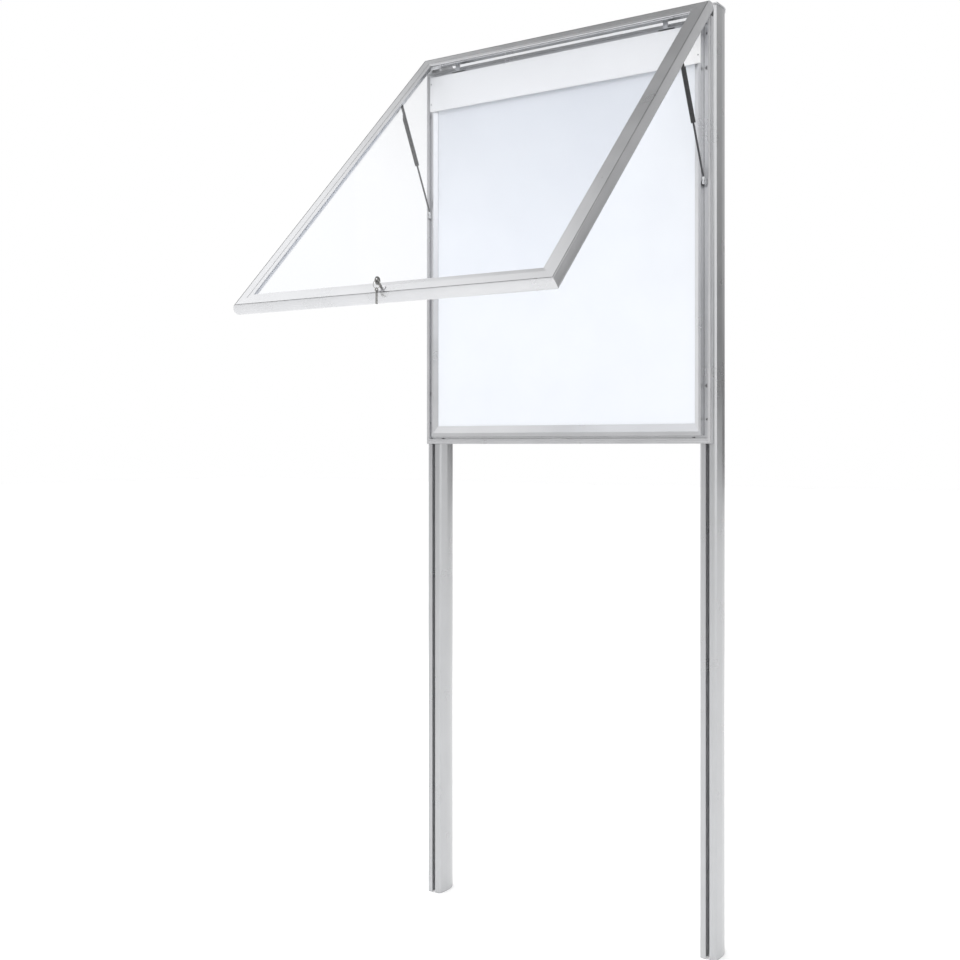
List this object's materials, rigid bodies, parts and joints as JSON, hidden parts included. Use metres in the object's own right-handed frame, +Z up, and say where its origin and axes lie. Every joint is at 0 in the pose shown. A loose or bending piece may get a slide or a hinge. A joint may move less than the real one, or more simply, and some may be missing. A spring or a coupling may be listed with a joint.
{
  "type": "poster display case on posts",
  "caption": "Lockable poster case with a top-hinged glazed door on gas struts, bolted to slotted posts.",
  "frame": {"origin": "on the ground, midway between the posts, in the plane of the posts' front faces", "axes": "+X to the right as seen from the front, +Y to the back, +Z up"},
  "size_m": [1.058, 1.0645, 2.834],
  "materials": {
    "anodised_aluminium": "satin anodised",
    "poster_white": "gloss",
    "header_white": "gloss",
    "clear_pane": "clear",
    "black_rubber": "matte",
    "grey_rubber": "matte",
    "black_enamel": "semi-gloss",
    "dark_steel": "black nitrided",
    "zinc_steel": "zinc plated",
    "lock_chrome": "polished",
    "key_steel": "nickel plated",
    "grey_plastic": "moulded"
  },
  "bodies": {
    "frame": {"case_back_sheet": "anodised_aluminium", "case_bolts": "zinc_steel", "case_corner_cleats": "anodised_aluminium", "case_rail_bottom": "anodised_aluminium", "case_rail_left": "anodised_aluminium", "case_rail_right": "anodised_aluminium", "case_rail_top": "anodised_aluminium", "case_seal": "grey_rubber", "drain_plugs": "grey_plastic", "header_panel": "header_white", "header_screws": "zinc_steel", "hinge_case_leaves": "anodised_aluminium", "hinge_case_screws": "zinc_steel", "hinge_pins": "zinc_steel", "post_cap_left": "anodised_aluminium", "post_cap_right": "anodised_aluminium", "post_foot_left": "grey_plastic", "post_foot_right": "grey_plastic", "post_left": "anodised_aluminium", "post_right": "anodised_aluminium", "poster_board": "poster_white", "poster_frame_bottom": "anodised_aluminium", "poster_frame_left": "anodised_aluminium", "poster_frame_right": "anodised_aluminium", "poster_frame_top": "anodised_aluminium", "slot_nuts": "zinc_steel", "strike_plate": "zinc_steel", "strut_bracket_left": "zinc_steel", "strut_bracket_right": "zinc_steel"},
    "door": {"door_bottom_rail": "anodised_aluminium", "door_corner_cleats": "anodised_aluminium", "door_left_rail": "anodised_aluminium", "door_pane": "clear_pane", "door_right_rail": "anodised_aluminium", "door_stud_left": "zinc_steel", "door_stud_right": "zinc_steel", "door_top_rail": "anodised_aluminium", "glazing_bead_bottom": "anodised_aluminium", "glazing_bead_left": "anodised_aluminium", "glazing_bead_right": "anodised_aluminium", "glazing_bead_top": "anodised_aluminium", "glazing_gasket": "black_rubber", "hinge_door_leaves": "anodised_aluminium", "lock_clip": "zinc_steel", "lock_housing": "lock_chrome"},
    "rod_left": {"strut_rod_left": "dark_steel", "strut_eye_left": "zinc_steel"},
    "rod_right": {"strut_rod_right": "dark_steel", "strut_eye_right": "zinc_steel"},
    "tube_left": {"strut_tube_left": "black_enamel", "strut_blade_left": "black_enamel"},
    "tube_right": {"strut_tube_right": "black_enamel", "strut_blade_right": "black_enamel"},
    "lock": {"lock_plug": "lock_chrome", "lock_cam": "zinc_steel", "cam_screw": "zinc_steel"},
    "key": {"lock_key": "key_steel"},
    "ring": {"key_ring": "key_steel", "spare_key": "key_steel"}
  },
  "joints": [
    {"name": "door_hinge", "type": "hinge", "parent": "frame", "child": "door", "pos_m": [0, -0.034, 2.804], "axis": [1, 0, 0], "range_deg": [0, 45], "stiffness_Nm_per_rad": 40, "springref_deg": -148.97},
    {"name": "left_strut_swing", "type": "hinge", "parent": "frame", "child": "rod_left", "pos_m": [-0.496, -0.02, 2.302], "axis": [-1, 0, 0], "range_deg": [-0.2, 25.2]},
    {"name": "left_strut_stroke", "type": "slide", "parent": "rod_left", "child": "tube_left", "axis": [0, -0.4432, 0.8964], "range_m": [-0.1005, 0.0005]},
    {"name": "right_strut_swing", "type": "hinge", "parent": "frame", "child": "rod_right", "pos_m": [0.496, -0.02, 2.302], "axis": [-1, 0, 0], "range_deg": [-0.2, 25.2]},
    {"name": "right_strut_stroke", "type": "slide", "parent": "rod_right", "child": "tube_right", "axis": [0, -0.4432, 0.8964], "range_m": [-0.1005, 0.0005]},
    {"name": "lock_turn", "type": "hinge", "parent": "door", "child": "lock", "pos_m": [0, -0.93167, 1.92895], "axis": [0, 0.7071, -0.7071], "range_deg": [0, 90]},
    {"name": "key_pull", "type": "slide", "parent": "lock", "child": "key", "axis": [0, -0.7071, 0.7071], "range_m": [0, 0.03]},
    {"name": "key_ring_swing", "type": "hinge", "parent": "key", "child": "ring", "pos_m": [0, -0.95359, 1.94898], "axis": [1, 0, 0], "range_deg": [-62, 2]}
  ],
  "couplings": [
    {"joint": "left_strut_swing", "follows": "door_hinge", "ratio": 0.55259},
    {"joint": "left_strut_stroke", "follows": "door_hinge", "m_per_rad": -0.12695},
    {"joint": "right_strut_swing", "follows": "door_hinge", "ratio": 0.55259},
    {"joint": "right_strut_stroke", "follows": "door_hinge", "m_per_rad": -0.12695},
    {"joint": "key_ring_swing", "follows": "lock_turn", "ratio": -0.66667}
  ]
}
